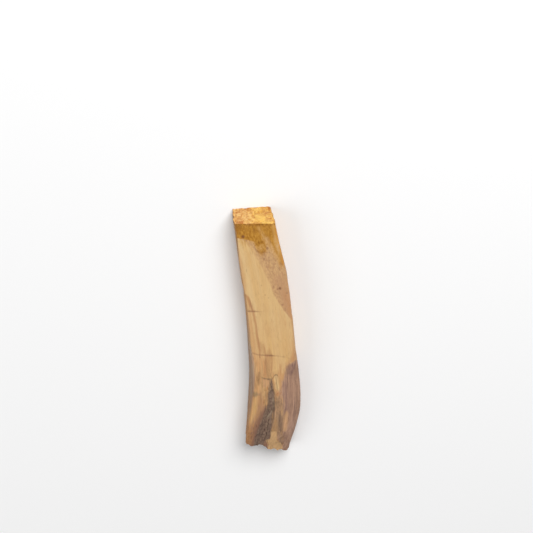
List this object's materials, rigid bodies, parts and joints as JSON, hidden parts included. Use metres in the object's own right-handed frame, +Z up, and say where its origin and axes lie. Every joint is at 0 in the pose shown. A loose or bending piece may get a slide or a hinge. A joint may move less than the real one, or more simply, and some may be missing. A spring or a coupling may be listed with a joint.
{
  "type": "palo santo stick",
  "caption": "Short stick of pale incense wood, bent along its grain, sawn across at one end and torn at the other, with amber resin and a dark weathered stain.",
  "frame": {"origin": "middle of the bounding box in X and Y, on the surface that the stick lies on", "axes": "+Y along the stick towards its sawn end, +Z up out of the stained face, +X across it, towards the side that bulges out near the torn end"},
  "size_m": [0.0294, 0.1096, 0.0144],
  "materials": {
    "wood": "dry raw wood, pale tan, with glossy amber resin near the sawn end and a rough grey-brown weathered face near the torn end"
  },
  "bodies": {
    "root": {"stick": "wood"}
  },
  "joints": []
}
